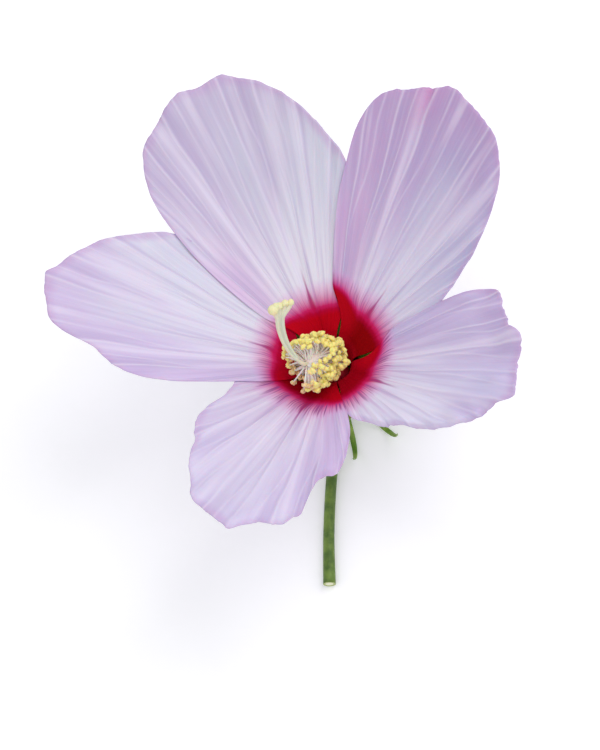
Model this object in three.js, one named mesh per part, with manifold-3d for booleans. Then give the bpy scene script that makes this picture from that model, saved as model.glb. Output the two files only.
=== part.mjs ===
// A picked rose-mallow (hibiscus) flower, resting face up on its epicalyx and its bent stalk.
// Millimetres, +Z up. The surface it rests on is z = 0 and the origin is under the middle of the flower.
// Azimuths are in degrees, anticlockwise from +X when seen from above.

import * as THREE from 'three';
import { mergeVertices } from 'three/addons/utils/BufferGeometryUtils.js';
import Module from 'manifold-3d';

const wasm = await Module();
wasm.setup();

// Driving dimensions: heights above the surface
const CALYX_BASE_Z = 9;
const CALYX_RIM_Z = 26;
const THROAT_Z = 28;

// Driving dimensions: the funnel that the five petals share, its throat as [distance from the axis, height]
const THROAT = [[5.35, 13], [5.6, 18], [6.7, 23.6], [9, THROAT_Z]];
const THROAT_R = 9;
const PETAL_REACH = 80;
const THROAT_SLOPE = Math.tan(THREE.MathUtils.degToRad(27));
const TIP_SLOPE = Math.tan(THREE.MathUtils.degToRad(36));
const PETAL_THICKNESS = 0.8;
const CLAW_HALF_ANGLE = 30;
const CLAW_END_R = 11;
const FAN_START_R = 19;
const OVERLAP_RISE = 0.95;
const OVERLAP_RISE_PER_MM = 0.03;
const OVERLAP_START = 2;
const PLEATS = 29;
const PLEAT_DEPTH = 0.55;
const PETAL_COLUMNS = 22;
const PETAL_ROWS = 16;
const CLAW_ROWS = THROAT.length - 1;
const ROW_SPREAD = 1.35;

// Driving dimensions: the other parts
const SEAT_GAP = 0.3;
const CALYX_WALL = 0.7;
const CALYX_FLOOR = 1.2;
const CALYX_RIM_R = 9.8;
const CALYX_LOBE_R = 22.4;
const LOBE_SLOPE = 0.3;
const CALYX_LOBES = 5;
const FIRST_LOBE_AZIMUTH = 45;
const BRACTLETS = 10;
const BRACTLET_WIDTH = 1.7;
const BRACTLET_THICKNESS = 0.9;
const PEDICEL_RADIUS = 1.75;
const PEDICEL_AZIMUTH = 240;
const PEDICEL_RUN = 60;
const PEDICEL_JOINT_SWELL = 0.15;
const RECEPTACLE_RADIUS = 3.2;
const COLUMN_LENGTH = 31;
const STAMENS = 36;
const FIRST_STAMEN = 19.5;
const LONG_STAMEN = 8.5;
const SHORT_STAMEN = 6.6;
const GOLDEN_ANGLE = 137.5;
const FILAMENT_RADIUS = 0.38;
const FILAMENT_ROOT = 1.4;
const ANTHER_RADIUS = 1.05;
const STYLE_RADIUS = 0.55;
const BEND_STEP = 2.6;
const STIGMAS = 5;
const STIGMA_RADIUS = 1.3;
const STIGMA_SPREAD = 1.9;

// Each petal: where its claw stands, and its outline as [azimuth, distance from the axis] round the margin.
const PETALS = {
  petal_back: {
    claw: 82,
    outline: [
      [47, 38], [57, 53], [63, 59.4], [69, 65.8], [75, 71], [81, 75], [85, 77.4], [90, 76.8], [96, 77.2],
      [102, 74.4], [108, 72], [111, 68.8], [114, 64.5], [117, 57.8], [119.5, 49], [121.5, 40], [124, 26],
    ],
  },
  petal_left: {
    claw: 156,
    outline: [
      [109, 32], [119, 52], [125, 58.8], [131, 64.8], [137, 70.4], [143, 74.6], [146, 76.4], [155, 74],
      [158, 70.5], [161, 63], [164, 60.4], [167, 57.2], [170, 51.8], [173, 43], [177, 27], [181, 20],
    ],
  },
  petal_front_left: {
    claw: 230,
    outline: [
      [168, 20], [174, 25.5], [183, 31], [186, 36.5], [192, 42.6], [198, 46.8], [204, 52.6], [210, 58],
      [213, 61.6], [219, 64.2], [228, 67.6], [234, 63], [240, 62.6], [243, 57.5], [246, 48.5], [249, 45.4],
      [252, 45], [255, 42.8], [261, 33], [264, 27.4], [266, 20],
    ],
  },
  petal_front_right: {
    claw: 303,
    outline: [
      [263, 19], [269, 24], [275, 26.2], [281, 31.2], [287, 35.5], [296, 49], [302, 56], [308, 60],
      [311, 65], [314, 64], [320, 62], [326, 62.2], [332, 57.2], [338, 55.2], [344, 54], [347, 50.5],
      [350, 41], [351.3, 32], [353.2, 23],
    ],
  },
  petal_back_right: {
    claw: 371,
    outline: [
      [340, 27], [353, 38.7], [357, 44.4], [360, 50], [366, 59.4], [372, 67.8], [378, 73.2], [384, 75.2],
      [393, 77.2], [396, 75.4], [402, 72.6], [408, 70.2], [411, 66.4], [414, 60.5], [416.2, 51.6],
      [418.2, 43], [419.3, 35], [420, 24],
    ],
  },
};

const PALE_LILAC = 0xd3c7e0;
const LEAF_GREEN = 0x5b8a26;
const STALK_GREEN = 0x52742a;
const POLLEN_CREAM = 0xefdfa4;
const STIGMA_YELLOW = 0xe9e3b0;

const polar = (radius, azimuth, z) => {
  const angle = THREE.MathUtils.degToRad(azimuth);
  return new THREE.Vector3(radius * Math.cos(angle), radius * Math.sin(angle), z);
};

function finish(geometry, name, color, roughness) {
  const material = new THREE.MeshStandardMaterial({ color, roughness, metalness: 0 });
  const mesh = new THREE.Mesh(geometry, material);
  mesh.name = name;
  return mesh;
}

function bare(geometry) {
  geometry.deleteAttribute('normal');
  geometry.deleteAttribute('uv');
  return mergeVertices(geometry, 1e-4);
}

function moveVertices(geometry, place) {
  const position = geometry.attributes.position;
  const from = new THREE.Vector3();
  for (let i = 0; i < position.count; i += 1) {
    from.fromBufferAttribute(position, i);
    const to = place(from);
    position.setXYZ(i, to.x, to.y, to.z);
  }
  return geometry;
}

// The value at a place on a line through [place, value] points.
function between(points, place) {
  const found = points.findIndex(([at]) => at >= place);
  const next = found < 0 ? points.length - 1 : Math.max(1, found);
  const [at0, value0] = points[next - 1];
  const [at1, value1] = points[next];
  return THREE.MathUtils.mapLinear(place, at0, at1, value0, value1);
}

// Adds rings between the given ones, so that a long solid can bend smoothly.
function sampled(rings, spacing) {
  const dense = [rings[0]];
  for (let k = 1; k < rings.length; k += 1) {
    const [from, to] = [rings[k - 1], rings[k]];
    const parts = Math.max(1, Math.round(Math.abs(to[0] - from[0]) / spacing));
    for (let part = 1; part <= parts; part += 1) {
      const share = part / parts;
      dense.push([THREE.MathUtils.lerp(from[0], to[0], share), THREE.MathUtils.lerp(from[1], to[1], share)]);
    }
  }
  return dense;
}

// A closed round solid: radii are [distance along, radius] pairs, and the ends are capped on the axis.
function turned(radii, sides) {
  const points = radii.map(([along, radius]) => new THREE.Vector2(radius, along));
  points.unshift(new THREE.Vector2(0, radii[0][0]));
  points.push(new THREE.Vector2(0, radii[radii.length - 1][0]));
  return bare(new THREE.LatheGeometry(points, sides).rotateX(Math.PI / 2));
}

// Lays a solid that stands on the z axis along a curve, z becoming the distance along the curve.
function bendAlong(geometry, curve) {
  const steps = 200;
  const length = curve.getLength();
  const frames = curve.computeFrenetFrames(steps, false);
  return moveVertices(geometry, (vertex) => {
    const share = THREE.MathUtils.clamp(vertex.z / length, 0, 1);
    const k = Math.round(share * steps);
    const to = curve.getPointAt(share);
    to.addScaledVector(frames.normals[k], vertex.x);
    return to.addScaledVector(frames.binormals[k], vertex.y);
  });
}

// Petals ------------------------------------------------------------------------------------------

function funnelHeight(radius) {
  if (radius < THROAT_R) return between(THROAT, radius);
  const out = radius - THROAT_R;
  const opening = (TIP_SLOPE - THROAT_SLOPE) / (2 * (PETAL_REACH - THROAT_R));
  return THROAT_Z + THROAT_SLOPE * out + opening * out * out;
}

// The first rows of a petal climb the throat and the rest spread out over the funnel.
function petalRadius(reach, along) {
  const clawShare = CLAW_ROWS / PETAL_ROWS;
  if (along <= clawShare) {
    const place = (along / clawShare) * CLAW_ROWS;
    return between(THROAT.map(([radius], row) => [row, radius]), place);
  }
  return THREE.MathUtils.lerp(THROAT_R, reach, Math.pow((along - clawShare) / (1 - clawShare), ROW_SPREAD));
}

// across runs from -1 to 1 over the petal's width, along from 0 at the claw to 1 at the margin.
function petalPoint({ claw, outline }, across, along) {
  const first = outline[0][0];
  const last = outline[outline.length - 1][0];
  const fanAzimuth = THREE.MathUtils.lerp(first, last, (across + 1) / 2);
  const radius = petalRadius(between(outline, fanAzimuth), along);
  const clawAzimuth = claw + across * CLAW_HALF_ANGLE;
  const fanned = THREE.MathUtils.smoothstep(radius, CLAW_END_R, FAN_START_R);
  const azimuth = THREE.MathUtils.lerp(clawAzimuth, fanAzimuth, fanned);
  const beyond = Math.max(0, radius - THROAT_R);
  const rise = Math.min(1, beyond / OVERLAP_START) * (OVERLAP_RISE + OVERLAP_RISE_PER_MM * beyond) * across;
  const pleat = PLEAT_DEPTH * THREE.MathUtils.smoothstep(radius, FAN_START_R, PETAL_REACH / 2);
  const wave = pleat * Math.cos(THREE.MathUtils.degToRad(azimuth) * PLEATS);
  return polar(radius, azimuth, funnelHeight(radius) + rise + wave);
}

function petalNormal(petal, across, along) {
  const step = 0.004;
  const u0 = Math.max(-1, across - step);
  const u1 = Math.min(1, across + step);
  const v0 = Math.max(0, along - step);
  const v1 = Math.min(1, along + step);
  const sideways = petalPoint(petal, u1, along).sub(petalPoint(petal, u0, along));
  const outward = petalPoint(petal, across, v1).sub(petalPoint(petal, across, v0));
  return outward.cross(sideways).normalize();
}

function petalGeometry(petal) {
  const slab = bare(new THREE.BoxGeometry(2, 1, 1, PETAL_COLUMNS, PETAL_ROWS, 1));
  return moveVertices(slab, ({ x, y, z }) => {
    const across = -x;
    const along = y + 0.5;
    const surface = petalPoint(petal, across, along);
    return surface.addScaledVector(petalNormal(petal, across, along), z * PETAL_THICKNESS);
  });
}

// Calyx -------------------------------------------------------------------------------------------

function lobeShare(azimuth) {
  const turns = (azimuth - FIRST_LOBE_AZIMUTH) / (360 / CALYX_LOBES);
  return Math.max(0.06, 1 - 2 * Math.abs(turns - Math.round(turns)));
}

// A bell-shaped cup, turned as if it had one wide collar, which is then drawn in to five pointed lobes.
function calyxGeometry() {
  const sheetHeight = (radius) => CALYX_RIM_Z + LOBE_SLOPE * (radius - CALYX_RIM_R);
  const outside = [
    [0, CALYX_BASE_Z], [3.4, CALYX_BASE_Z], [6.3, 10.4], [7.9, 13.5], [8.8, 18.5], [9.4, 23.5],
    [CALYX_RIM_R, CALYX_RIM_Z - 0.3], [14, sheetHeight(14) - 0.4], [18, sheetHeight(18) - 0.35],
    [CALYX_LOBE_R, sheetHeight(CALYX_LOBE_R) - 0.2],
  ];
  const inside = [
    [CALYX_LOBE_R, sheetHeight(CALYX_LOBE_R) + 0.2], [18, sheetHeight(18) + 0.35],
    [14, sheetHeight(14) + 0.4], [CALYX_RIM_R - CALYX_WALL, CALYX_RIM_Z + 0.1],
    [8.65, 23.7], [8.1, 18.7], [7.2, 13.9], [5.9, 11.5],
    [4.9, CALYX_BASE_Z + CALYX_FLOOR], [0, CALYX_BASE_Z + CALYX_FLOOR],
  ];
  const profile = [...outside, ...inside].map(([radius, z]) => new THREE.Vector2(radius, z));
  const cup = bare(new THREE.LatheGeometry(profile, 10 * CALYX_LOBES).rotateX(Math.PI / 2));
  return moveVertices(cup, (vertex) => {
    const radius = Math.hypot(vertex.x, vertex.y);
    if (radius <= CALYX_RIM_R) return vertex;
    const azimuth = THREE.MathUtils.radToDeg(Math.atan2(vertex.y, vertex.x));
    const drawnIn = THREE.MathUtils.lerp(CALYX_RIM_R, radius, lobeShare(azimuth));
    return polar(drawnIn, azimuth, vertex.z - sheetHeight(radius) + sheetHeight(drawnIn));
  });
}

// Epicalyx ----------------------------------------------------------------------------------------

function bractletGeometry(azimuth) {
  const arch = new THREE.CatmullRomCurve3([
    polar(RECEPTACLE_RADIUS + SEAT_GAP, azimuth, 8.2),
    polar(7.2, azimuth, 6.6),
    polar(12, azimuth, 2.7),
    polar(16.4, azimuth, 0.75),
    polar(20.4, azimuth, 2.1),
    polar(23.2, azimuth, 5.6),
    polar(24.6, azimuth, 10),
  ]);
  const length = arch.getLength();
  const swell = [[0, 0.8], [0.2, 1], [0.45, 1], [0.7, 0.8], [0.9, 0.5], [1, 0.2]];
  const steps = 12;
  const radii = Array.from({ length: steps + 1 }, (_, k) => {
    const share = k / steps;
    return [share * length, between(swell, share) / 2];
  });
  return archAlong(turned(radii, 8), arch, azimuth);
}

// A bractlet is a flat strap: wide across its own direction and thin in the plane of its arch.
function archAlong(geometry, arch, azimuth) {
  const sideways = polar(1, azimuth + 90, 0);
  const length = arch.getLength();
  return moveVertices(geometry, (vertex) => {
    const share = THREE.MathUtils.clamp(vertex.z / length, 0, 1);
    const up = arch.getTangentAt(share).cross(sideways).normalize();
    const to = arch.getPointAt(share);
    to.addScaledVector(sideways, vertex.x * BRACTLET_WIDTH);
    return to.addScaledVector(up, vertex.y * BRACTLET_THICKNESS);
  });
}

// Stalk -------------------------------------------------------------------------------------------

function pedicelGeometry() {
  const lie = PEDICEL_RADIUS + PEDICEL_JOINT_SWELL;
  const away = (run, z, veer = 0) => polar(run, PEDICEL_AZIMUTH + veer, z);
  const route = new THREE.CatmullRomCurve3([
    away(PEDICEL_RUN, lie, 3),
    away(PEDICEL_RUN * 0.75, lie, 1.5),
    away(PEDICEL_RUN * 0.5, lie),
    away(PEDICEL_RUN * 0.3, lie, -1),
    away(10.5, lie),
    away(5.6, lie + 0.3),
    away(1.9, 3.6),
    away(0.15, 6.2),
    away(0, 7.6),
    away(0, CALYX_BASE_Z - SEAT_GAP),
  ]);
  const length = route.getLength();
  const radii = [
    [0, PEDICEL_RADIUS + 0.1], [length * 0.25, PEDICEL_RADIUS - 0.1], [length * 0.5, PEDICEL_RADIUS - 0.15],
    [length - 24, PEDICEL_RADIUS - 0.1], [length - 15.5, PEDICEL_RADIUS],
    [length - 13.5, PEDICEL_RADIUS + PEDICEL_JOINT_SWELL], [length - 11.5, PEDICEL_RADIUS - 0.05],
    [length - 8.5, PEDICEL_RADIUS], [length - 6.4, PEDICEL_RADIUS],
    [length - 4.4, PEDICEL_RADIUS + 0.1], [length - 3, 2.2], [length - 1.7, RECEPTACLE_RADIUS - 0.2],
    [length, RECEPTACLE_RADIUS],
  ];
  return bendAlong(turned(sampled(radii, 4), 14), route);
}

// Stamens and pistil ------------------------------------------------------------------------------

const STYLE_CURVE = new THREE.CatmullRomCurve3([
  new THREE.Vector3(0, 0, CALYX_BASE_Z + 1.5),
  new THREE.Vector3(0, 0, 19),
  new THREE.Vector3(-0.2, -0.2, 28),
  new THREE.Vector3(-2.4, -1, 35),
  new THREE.Vector3(-6.2, -2.8, 40),
  new THREE.Vector3(-8.3, 0.4, 45),
  new THREE.Vector3(-8.4, 3.9, 51),
  new THREE.Vector3(-6.9, 7.4, 56.5),
]);

function toManifold(geometry) {
  return new wasm.Manifold(new wasm.Mesh({
    numProp: 3,
    vertProperties: new Float32Array(geometry.attributes.position.array),
    triVerts: new Uint32Array(geometry.index.array),
  }));
}

function fromManifold(solid) {
  const { vertProperties, triVerts } = solid.getMesh();
  const geometry = new THREE.BufferGeometry();
  geometry.setAttribute('position', new THREE.BufferAttribute(vertProperties, 3));
  geometry.setIndex(new THREE.BufferAttribute(triVerts, 1));
  return geometry;
}

function hollowColumn() {
  const outside = [
    [0, 4.5], [3, 4.5], [5.5, 4.2], [8, 3.3], [11, 2.5], [16, 2.2], [22, 2], [27, 1.75], [COLUMN_LENGTH, 1.5],
  ];
  const inside = [[COLUMN_LENGTH, 1], [22, 1.05], [16, 1.15], [11, 1.3], [8, 2.5], [5.5, 3.4], [0, 3.6]];
  const rings = [...sampled(outside, BEND_STEP), ...sampled(inside, BEND_STEP), outside[0]];
  const loop = rings.map(([along, radius]) => new THREE.Vector2(radius, along));
  return bendAlong(bare(new THREE.LatheGeometry(loop, 16).rotateX(Math.PI / 2)), STYLE_CURVE);
}

// The stamens stand in a spiral over the upper column, longest at its foot.
function stamen(index) {
  const share = index / (STAMENS - 1);
  const at = THREE.MathUtils.lerp(FIRST_STAMEN, COLUMN_LENGTH - 1.5, share) / STYLE_CURVE.getLength();
  const along = STYLE_CURVE.getTangentAt(at);
  const root = STYLE_CURVE.getPointAt(at);
  const around = polar(1, index * GOLDEN_ANGLE, 0);
  const outward = around.addScaledVector(along, -around.dot(along)).normalize();
  const direction = outward.addScaledVector(along, THREE.MathUtils.lerp(0.1, 0.45, share)).normalize();
  const length = THREE.MathUtils.lerp(LONG_STAMEN, SHORT_STAMEN, share);
  const tip = root.clone().addScaledVector(direction, length);
  const filament = turned([[FILAMENT_ROOT, FILAMENT_RADIUS], [length, FILAMENT_RADIUS * 0.8]], 5);
  const anther = bare(new THREE.SphereGeometry(ANTHER_RADIUS, 6, 4)).scale(1, 0.8, 0.75);
  const upright = new THREE.Quaternion().setFromUnitVectors(new THREE.Vector3(0, 0, 1), direction);
  filament.applyQuaternion(upright).translate(root.x, root.y, root.z);
  anther.applyQuaternion(upright).translate(tip.x, tip.y, tip.z);
  return [filament, anther];
}

function columnGeometry() {
  let solid = toManifold(hollowColumn());
  for (let index = 0; index < STAMENS; index += 1) {
    for (const piece of stamen(index)) solid = solid.add(toManifold(piece));
  }
  return fromManifold(solid);
}

function pistilGeometry() {
  const length = STYLE_CURVE.getLength();
  const radii = [
    [0, 1.6], [1, 2.7], [2.6, 3], [4.2, 2.8], [6, 1.7], [7.6, 0.8], [9.5, STYLE_RADIUS], [20, STYLE_RADIUS],
    [COLUMN_LENGTH, STYLE_RADIUS], [COLUMN_LENGTH + 6, 0.7], [length - 5, 1], [length - 1.5, 1.35],
    [length, 1.1],
  ];
  let solid = toManifold(bendAlong(turned(sampled(radii, BEND_STEP), 10), STYLE_CURVE));
  const tip = STYLE_CURVE.getPointAt(1);
  for (let index = 0; index < STIGMAS; index += 1) {
    const away = polar(STIGMA_SPREAD, 20 + (360 / STIGMAS) * index, 0.5);
    const stigma = bare(new THREE.SphereGeometry(STIGMA_RADIUS, 8, 6)).scale(1, 1, 0.8);
    stigma.translate(tip.x + away.x, tip.y + away.y, tip.z + away.z);
    solid = solid.add(toManifold(stigma));
  }
  return fromManifold(solid);
}

// The flower --------------------------------------------------------------------------------------

const flower = new THREE.Group();
for (const [name, petal] of Object.entries(PETALS)) {
  flower.add(finish(petalGeometry(petal), name, PALE_LILAC, 0.6));
}
flower.add(finish(calyxGeometry(), 'calyx', LEAF_GREEN, 0.6));
for (let index = 0; index < BRACTLETS; index += 1) {
  const azimuth = PEDICEL_AZIMUTH + (360 / BRACTLETS) * (index + 0.5);
  const name = `bractlet_${String(index + 1).padStart(2, '0')}`;
  flower.add(finish(bractletGeometry(azimuth), name, LEAF_GREEN, 0.6));
}
flower.add(finish(pedicelGeometry(), 'pedicel', STALK_GREEN, 0.6));
flower.add(finish(columnGeometry(), 'staminal_column', POLLEN_CREAM, 0.7));
flower.add(finish(pistilGeometry(), 'pistil', STIGMA_YELLOW, 0.6));

// The origin lies on the surface, under the middle of the flower's box.
const box = new THREE.Box3().setFromObject(flower);
const middle = box.getCenter(new THREE.Vector3());
flower.position.set(-middle.x, -middle.y, -box.min.z);

export default flower;
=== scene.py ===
# %% [markdown]
# # A picked hibiscus flower
# An open rose mallow, one of the hardy hibiscuses, lies face up on a table. It stands on the thin
# bractlets under its calyx and on its own bent stalk. The fixed frame gives each piece its place, and
# everything that is modelled here fits the same axis and the same funnel of petals.

# %% Load the frame
import math
import random

import bmesh
import bpy
from mathutils import Matrix, Vector, noise


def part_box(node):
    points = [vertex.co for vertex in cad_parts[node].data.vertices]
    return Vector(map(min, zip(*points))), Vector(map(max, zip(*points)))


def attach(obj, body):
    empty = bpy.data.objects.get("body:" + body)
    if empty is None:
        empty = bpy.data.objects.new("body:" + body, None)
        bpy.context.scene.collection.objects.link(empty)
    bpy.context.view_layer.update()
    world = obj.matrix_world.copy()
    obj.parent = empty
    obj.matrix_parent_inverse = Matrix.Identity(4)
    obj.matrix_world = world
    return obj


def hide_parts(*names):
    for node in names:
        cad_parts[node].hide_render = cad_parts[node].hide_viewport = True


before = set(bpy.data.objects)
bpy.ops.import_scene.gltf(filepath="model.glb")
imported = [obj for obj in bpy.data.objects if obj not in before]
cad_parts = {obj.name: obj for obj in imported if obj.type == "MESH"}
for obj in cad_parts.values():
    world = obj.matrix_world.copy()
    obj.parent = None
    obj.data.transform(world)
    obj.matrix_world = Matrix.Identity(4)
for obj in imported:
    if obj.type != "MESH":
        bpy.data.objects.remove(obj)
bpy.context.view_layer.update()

MM = 0.001
rng = random.Random(7)
scene = bpy.context.scene

# %% [markdown]
# The flower's axis runs up through the calyx. The flat foot of the calyx is a ring round that axis, so
# the middle of the foot's vertices is where the axis stands on the table.

# %% The flower's axis
calyx_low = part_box("calyx")[0][2]
calyx_points = [v.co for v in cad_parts["calyx"].data.vertices]
foot = [p for p in calyx_points if p.z < calyx_low + 0.1 * MM]
AXIS = sum(foot, Vector()) / len(foot)
AXIS.z = 0.0
print("axis stands at", [round(c / MM, 2) for c in AXIS], "mm")


def polar(radius, azimuth, height):
    """A point at a distance from the axis, an azimuth in degrees and a height, all in millimetres."""
    angle = math.radians(azimuth)
    return AXIS + Vector((radius * math.cos(angle), radius * math.sin(angle), height)) * MM


def smoothstep(value, low, high):
    share = min(1.0, max(0.0, (value - low) / (high - low)))
    return share * share * (3 - 2 * share)


def mix(a, b, share):
    return a + (b - a) * share


def add_object(name, data):
    """Makes an object of some data and puts it in the scene."""
    made = bpy.data.objects.new(name, data)
    scene.collection.objects.link(made)
    return made


def add_mesh(bm, name, materials):
    """Makes an object of a bmesh, which is then done with."""
    data = bpy.data.meshes.new(name)
    bm.to_mesh(data)
    bm.free()
    for material in materials:
        data.materials.append(material)
    return add_object(name, data)


# %% [markdown]
# ## Camera, floor and light
# The camera looks down into the flower from 66 degrees above the table, and is turned a little about
# its own line of sight, as a hand-held camera is. A long lens keeps the petals' proportions. The light
# is that of a bright overcast day: a white sky all round and one broad soft lamp from the upper right.

# %% Camera
LOOK_DOWN = math.radians(66)
CAMERA_TILT = math.radians(25)
CAMERA_DISTANCE = 1.6
FRAME_HEIGHT = 0.2175
SENSOR = 36
THROAT_LEVEL = 28
OFF_CENTRE = Vector((8.12, 4.64)) * MM

to_camera = Vector((0, -math.cos(LOOK_DOWN), math.sin(LOOK_DOWN)))
level_up = Vector((0, math.sin(LOOK_DOWN), math.cos(LOOK_DOWN)))
level_right = Vector((1, 0, 0))
camera_right = math.cos(CAMERA_TILT) * level_right - math.sin(CAMERA_TILT) * level_up
camera_up = math.sin(CAMERA_TILT) * level_right + math.cos(CAMERA_TILT) * level_up
aim = polar(0, 0, THROAT_LEVEL) - OFF_CENTRE.x * camera_right - OFF_CENTRE.y * camera_up


def seen_towards(side):
    """The direction that the camera sees at an angle in degrees, anticlockwise from its right."""
    return math.cos(math.radians(side)) * camera_right + math.sin(math.radians(side)) * camera_up


lens = bpy.data.cameras.new("flower_camera")
lens.sensor_width = SENSOR
lens.lens = SENSOR * CAMERA_DISTANCE / FRAME_HEIGHT
lens.clip_end = 20
print("lens of", round(lens.lens), "mm")
camera = add_object("flower_camera", lens)
turn = Matrix((camera_right, camera_up, to_camera)).transposed().to_4x4()
camera.matrix_world = Matrix.Translation(aim + to_camera * CAMERA_DISTANCE) @ turn
scene.camera = camera
scene.view_settings.view_transform = "Standard"

# %% [markdown]
# ## A short way to write materials
# Every finish on the flower is drawn by shader nodes, because a living surface is never one flat colour.
# A node tree is long to write out, so one small class adds a node and plugs in its inputs in one call, and
# another lets the sums between nodes be written out as sums.

# %% Material helpers
def srgb(red, green, blue):
    """A colour given as it looks on screen, 0 to 255, as the linear colour that shaders use."""
    def linear(c):
        c /= 255
        return c / 12.92 if c <= 0.04045 else ((c + 0.055) / 1.055) ** 2.4
    return (linear(red), linear(green), linear(blue), 1.0)


class Wire:
    """The output of a node. Each sum that is written with it puts in one Math node."""

    def __init__(self, nodes, socket):
        self.nodes, self.socket = nodes, socket

    def __add__(self, other):
        return self.nodes.maths("ADD", self, other)

    def __sub__(self, other):
        return self.nodes.maths("SUBTRACT", self, other)

    def __rsub__(self, other):
        return self.nodes.maths("SUBTRACT", other, self)

    def __mul__(self, other):
        return self.nodes.maths("MULTIPLY", self, other)

    def __pow__(self, other):
        return self.nodes.maths("POWER", self, other)

    def __abs__(self):
        return self.nodes.maths("ABSOLUTE", self)


class Nodes:
    """Writes a material's node tree: each call adds one node and gives back its first output."""

    def __init__(self, name, roughness, **fixed):
        self.material = bpy.data.materials.new(name)
        self.material.use_nodes = True
        self.tree = self.material.node_tree
        self.shader = self.tree.nodes["Principled BSDF"]
        self.shader.inputs["Roughness"].default_value = roughness
        for socket, value in fixed.items():
            self.shader.inputs[socket.replace("_", " ")].default_value = value

    def add(self, kind, inputs=None, output=0, **settings):
        node = self.tree.nodes.new("ShaderNode" + kind)
        for name, value in settings.items():
            setattr(node, name, value)
        for name, value in (inputs or {}).items():
            self.plug(value, node.inputs[name])
        return Wire(self, node.outputs[output])

    def plug(self, value, socket):
        if isinstance(value, Wire):
            self.tree.links.new(value.socket, socket)
        else:
            socket.default_value = value

    def here(self):
        """Where a point lies, in object coordinates."""
        return self.add("TexCoord", output=3)

    def kept(self, name):
        """A value that the mesh keeps on its vertices."""
        return self.add("Attribute", output=2, attribute_name=name)

    def maths(self, operation, a, b=0.0):
        return self.add("Math", {0: a, 1: b}, operation=operation)

    def split(self, vector):
        """The three parts of a vector."""
        parts = self.add("SeparateXYZ", {"Vector": vector}).socket.node
        return [Wire(self, part) for part in parts.outputs]

    def ramp_up(self, value, low, high):
        """0 below low and 1 above high, with a smooth rise between."""
        sockets = {"Value": value, "From Min": low, "From Max": high}
        return self.add("MapRange", sockets, interpolation_type="SMOOTHSTEP")

    def straight(self, value, low, high):
        """0 at low and 1 at high, with a straight rise between."""
        return self.add("MapRange", {"Value": value, "From Min": low, "From Max": high})

    def colours(self, value, stops):
        """Runs through a list of [value, colour] stops."""
        low, high = stops[0][0], stops[-1][0]
        out = self.add("ValToRGB", {0: self.straight(value, low, high)})
        bar = out.socket.node.color_ramp.elements
        for at, colour in stops[1:-1]:
            bar.new((at - low) / (high - low)).color = colour
        bar[0].color, bar[-1].color = stops[0][1], stops[-1][1]
        return out

    def blend(self, factor, a, b):
        sockets = {"Factor": factor, 6: a, 7: b}
        return self.add("Mix", sockets, output=2, data_type="RGBA")

    def noise(self, vector, scale, detail=3.0, roughness=0.5):
        sockets = {"Vector": vector, "Scale": scale, "Detail": detail, "Roughness": roughness}
        return self.add("TexNoise", sockets)

    def stretch(self, vector, scale):
        return self.add("Mapping", {"Vector": vector, "Scale": scale})

    def colour(self, value):
        self.plug(value, self.shader.inputs["Base Color"])

    def relief(self, height, distance, strength=1.0):
        sockets = {"Height": height, "Distance": distance, "Strength": strength}
        self.plug(self.add("Bump", sockets), self.shader.inputs["Normal"])


def mottled(name, roughness, scale, one, other, detail=3.0, **fixed):
    """A finish whose colour wanders between two. Its pattern is kept, to raise a relief with."""
    n = Nodes(name, roughness, **fixed)
    n.pattern = n.noise(n.here(), scale, detail)
    n.colour(n.blend(n.pattern, one, other))
    return n


# %% [markdown]
# ## Table and light
# The table is one pale plane with a faint speckle, large enough to fill every view. It glows a little, as
# white paper does that catches light from all round, so that only soft shadows show on it.

# %% Table
TABLE_HALF = 3
pale_table = mottled("pale_table", 0.7, 60, srgb(250, 250, 251), srgb(246, 246, 248),
                     Emission_Color=(1, 1, 1, 1), Emission_Strength=0.18)

floor_mesh = bmesh.new()
bmesh.ops.create_grid(floor_mesh, x_segments=1, y_segments=1, size=TABLE_HALF)
table_top = add_mesh(floor_mesh, "table_top", [pale_table.material])
print("table", 2 * TABLE_HALF, "m wide")

# %% Sky and lamps
sky = bpy.data.worlds.new("overcast_sky")
sky.use_nodes = True
sky.node_tree.nodes["Background"].inputs["Color"].default_value = (0.97, 0.98, 1.0, 1.0)
sky.node_tree.nodes["Background"].inputs["Strength"].default_value = 0.68
scene.world = sky


def soft_lamp(name, towards, distance, size, power):
    """A square area lamp that shines on the flower from one side."""
    data = bpy.data.lights.new(name, "AREA")
    data.size = size
    data.energy = power
    lamp = add_object(name, data)
    towards = Vector(towards).normalized()
    lamp.location = polar(0, 0, THROAT_LEVEL) + towards * distance
    lamp.rotation_euler = towards.to_track_quat("Z", "Y").to_euler()
    print(name, "lamp of", power, "W")


soft_lamp("window", (0.95, 0.3, 1.35), 1.4, 1.0, 7)
soft_lamp("fill", (-0.5, -0.75, 1.3), 1.8, 1.4, 4.5)

# %% [markdown]
# ## The petals' surface
# The five petals lie on one shared funnel, as they do in the real flower, so one formula gives the height
# at each distance from the axis. A petal is a narrow claw in the throat and then fans out. Each one lies
# over the next on its anticlockwise side, so its height rises a little from one margin to the other. All
# lengths here are in millimetres, and R marks a distance from the axis.

# %% The funnel and the fan
THROAT = [(5.35, 13), (5.55, 18), (5.9, 22.3), (7.1, 26.1), (9, 28)]
THROAT_R, THROAT_Z = THROAT[-1]
PETAL_REACH = 80
THROAT_SLOPE, TIP_SLOPE = math.tan(math.radians(27)), math.tan(math.radians(36))
CLAW_HALF_ANGLE = 32.5
CLAW_END_R = 9.5
FULL_FAN_CLOCKWISE_R, FULL_FAN_ANTICLOCKWISE_R = 15, 21.3
OVERLAP_RISE, OVERLAP_RISE_PER_MM = 0.27, 0.0035
CLAW_SHARE = 0.14
VEINS = 10


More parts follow.
